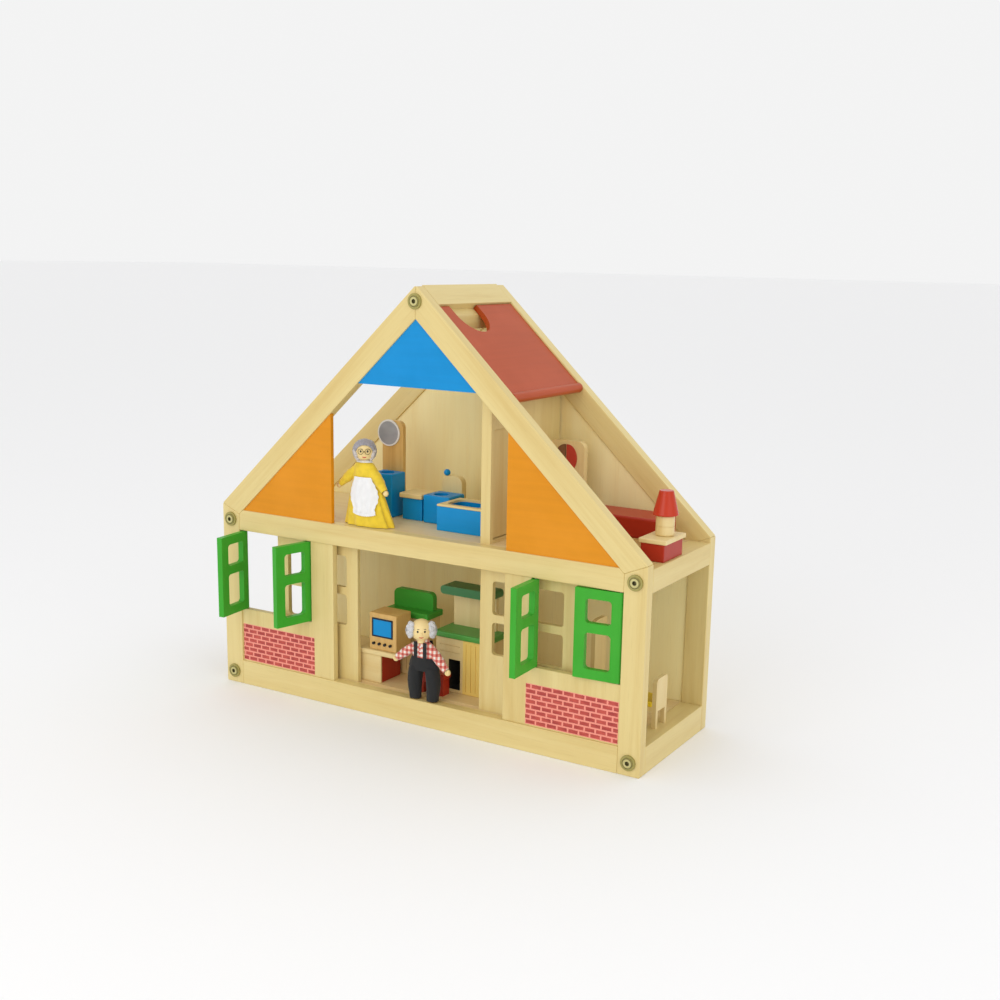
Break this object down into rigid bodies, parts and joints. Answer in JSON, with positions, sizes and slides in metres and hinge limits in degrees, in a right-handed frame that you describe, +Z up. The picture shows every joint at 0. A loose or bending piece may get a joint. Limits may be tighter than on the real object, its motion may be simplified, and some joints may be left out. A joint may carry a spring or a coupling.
{
  "type": "wooden dollhouse",
  "caption": "Open-fronted wooden dollhouse with a gable roof, sliding doors, hinged shutters, an opening roof flap, loose wooden furniture and dolls.",
  "frame": {"origin": "middle of the footprint's bounding box, on the ground", "axes": "+X to the right along the front, +Y from the front to the back, +Z up"},
  "size_m": [0.57, 0.2288, 0.496],
  "materials": {
    "beige_wood": "satin",
    "black_wood": "satin paint",
    "blue_wood": "satin paint",
    "brass": "satin",
    "dark_fabric": "matt",
    "doll_skin": "matt paint",
    "golden_wood": "satin",
    "green_wood": "satin paint",
    "mirror": "polished",
    "orange_wood": "satin paint",
    "pine": "satin",
    "red_wood": "satin paint",
    "steel": "satin",
    "yellow_fabric": "matt",
    "yellow_wood": "satin paint"
  },
  "bodies": {
    "house": {"posts": "pine", "bottom_rails": "pine", "mid_rails": "pine", "rafters": "pine", "end_beams": "pine", "ridge_beam": "pine", "floors": "pine", "floor_cleats": "pine", "back_wall_panels": "pine", "front_panels": "pine", "blue_gable_panel": "blue_wood", "orange_corner_panels": "orange_wood", "partition": "pine", "door_guide": "pine", "hinge_pins": "steel", "bolts": "brass", "barrel_nuts": "brass"},
    "right_sliding_door_body": {"right_sliding_door": "pine"},
    "left_sliding_door_body": {"left_sliding_door": "pine"},
    "right_roof_flap_body": {"right_roof_flap": "red_wood"},
    "partition_door_body": {"partition_door": "golden_wood"},
    "left_window_left_shutter_body": {"left_window_left_shutter": "green_wood"},
    "left_window_right_shutter_body": {"left_window_right_shutter": "green_wood"},
    "right_window_left_shutter_body": {"right_window_left_shutter": "green_wood"},
    "right_window_right_shutter_body": {"right_window_right_shutter": "green_wood"},
    "bathtub_body": {"bathtub_block": "blue_wood", "bathtub_rim": "beige_wood"},
    "toilet_body": {"toilet_seat": "blue_wood", "toilet_cistern": "beige_wood"},
    "low_cabinet_body": {"low_cabinet_box": "blue_wood", "low_cabinet_top": "beige_wood"},
    "washbasin_body": {"washbasin_cabinet": "blue_wood", "washbasin_board": "golden_wood", "washbasin_mirror": "mirror"},
    "dresser_body": {"dresser_box": "red_wood", "dresser_board": "beige_wood"},
    "bed_body": {"bed_base": "beige_wood", "bed_mattress": "red_wood"},
    "chest_body": {"chest_box": "red_wood", "chest_top": "beige_wood"},
    "lamp_body": {"lamp_base": "beige_wood", "lamp_shade": "red_wood"},
    "tv_cabinet_body": {"tv_cabinet_box": "red_wood", "tv_cabinet_wood": "golden_wood"},
    "television_body": {"tv_case": "golden_wood", "tv_screen": "blue_wood", "tv_knobs": "black_wood"},
    "cupboard_body": {"cupboard_body": "beige_wood", "cupboard_green": "green_wood"},
    "kitchen_body": {"kitchen_base": "beige_wood", "kitchen_green": "green_wood"},
    "stool_body": {"stool": "red_wood"},
    "chair_near_body": {"chair_near_frame": "beige_wood", "chair_near_seat": "yellow_wood"},
    "tall_chair_body": {"tall_chair": "beige_wood"},
    "grandmother_body": {"grandmother_dress": "yellow_fabric", "grandmother_head": "doll_skin"},
    "grandfather_body": {"grandfather_clothes": "dark_fabric", "grandfather_head": "doll_skin"}
  },
  "joints": [
    {"name": "right_door_slide", "type": "slide", "parent": "house", "child": "right_sliding_door_body", "axis": [1, 0, 0], "range_m": [-0.077, 0.058]},
    {"name": "left_door_slide", "type": "slide", "parent": "house", "child": "left_sliding_door_body", "axis": [1, 0, 0], "range_m": [-0.045, 0.09]},
    {"name": "right_roof_hinge", "type": "hinge", "parent": "house", "child": "right_roof_flap_body", "pos_m": [0.11357, 0.02125, 0.38193], "axis": [0, 1, 0], "range_deg": [0, 135]},
    {"name": "partition_door_hinge", "type": "hinge", "parent": "house", "child": "partition_door_body", "pos_m": [0.084, -0.04475, 0.285], "axis": [0, 0, 1], "range_deg": [-90, 0]},
    {"name": "left_window_left_shutter_hinge", "type": "hinge", "parent": "house", "child": "left_window_left_shutter_body", "pos_m": [-0.2545, -0.06475, 0.148], "axis": [0, 0, 1], "range_deg": [-21, 84]},
    {"name": "left_window_right_shutter_hinge", "type": "hinge", "parent": "house", "child": "left_window_right_shutter_body", "pos_m": [-0.1545, -0.06475, 0.148], "axis": [0, 0, 1], "range_deg": [-77, 28]},
    {"name": "right_window_left_shutter_hinge", "type": "hinge", "parent": "house", "child": "right_window_left_shutter_body", "pos_m": [0.1545, -0.06475, 0.148], "axis": [0, 0, 1], "range_deg": [-17, 88]},
    {"name": "right_window_right_shutter_hinge", "type": "hinge", "parent": "house", "child": "right_window_right_shutter_body", "pos_m": [0.2545, -0.06475, 0.148], "axis": [0, 0, 1], "range_deg": [-5, 100]},
    {"name": "bathtub_lift", "type": "slide", "parent": "house", "child": "bathtub_body", "axis": [0, 0, 1], "range_m": [0, 0.03]},
    {"name": "toilet_lift", "type": "slide", "parent": "house", "child": "toilet_body", "axis": [0, 0, 1], "range_m": [0, 0.03]},
    {"name": "low_cabinet_lift", "type": "slide", "parent": "house", "child": "low_cabinet_body", "axis": [0, 0, 1], "range_m": [0, 0.03]},
    {"name": "washbasin_lift", "type": "slide", "parent": "house", "child": "washbasin_body", "axis": [0, 0, 1], "range_m": [0, 0.03]},
    {"name": "dresser_lift", "type": "slide", "parent": "house", "child": "dresser_body", "axis": [0, 0, 1], "range_m": [0, 0.03]},
    {"name": "bed_lift", "type": "slide", "parent": "house", "child": "bed_body", "axis": [0, 0, 1], "range_m": [0, 0.03]},
    {"name": "chest_lift", "type": "slide", "parent": "house", "child": "chest_body", "axis": [0, 0, 1], "range_m": [0, 0.03]},
    {"name": "lamp_lift", "type": "slide", "parent": "chest_body", "child": "lamp_body", "axis": [0, 0, 1], "range_m": [0, 0.03]},
    {"name": "tv_cabinet_lift", "type": "slide", "parent": "house", "child": "tv_cabinet_body", "axis": [0, 0, 1], "range_m": [0, 0.03]},
    {"name": "television_lift", "type": "slide", "parent": "tv_cabinet_body", "child": "television_body", "axis": [0, 0, 1], "range_m": [0, 0.03]},
    {"name": "cupboard_lift", "type": "slide", "parent": "house", "child": "cupboard_body", "axis": [0, 0, 1], "range_m": [0, 0.03]},
    {"name": "kitchen_lift", "type": "slide", "parent": "house", "child": "kitchen_body", "axis": [0, 0, 1], "range_m": [0, 0.03]},
    {"name": "stool_lift", "type": "slide", "parent": "house", "child": "stool_body", "axis": [0, 0, 1], "range_m": [0, 0.03]},
    {"name": "chair_near_lift", "type": "slide", "parent": "house", "child": "chair_near_body", "axis": [0, 0, 1], "range_m": [0, 0.03]},
    {"name": "tall_chair_lift", "type": "slide", "parent": "house", "child": "tall_chair_body", "axis": [0, 0, 1], "range_m": [0, 0.03]},
    {"name": "grandmother_lift", "type": "slide", "parent": "house", "child": "grandmother_body", "axis": [0, 0, 1], "range_m": [0, 0.03]},
    {"name": "grandfather_lift", "type": "slide", "parent": "house", "child": "grandfather_body", "axis": [0, 0, 1], "range_m": [0, 0.03]}
  ]
}
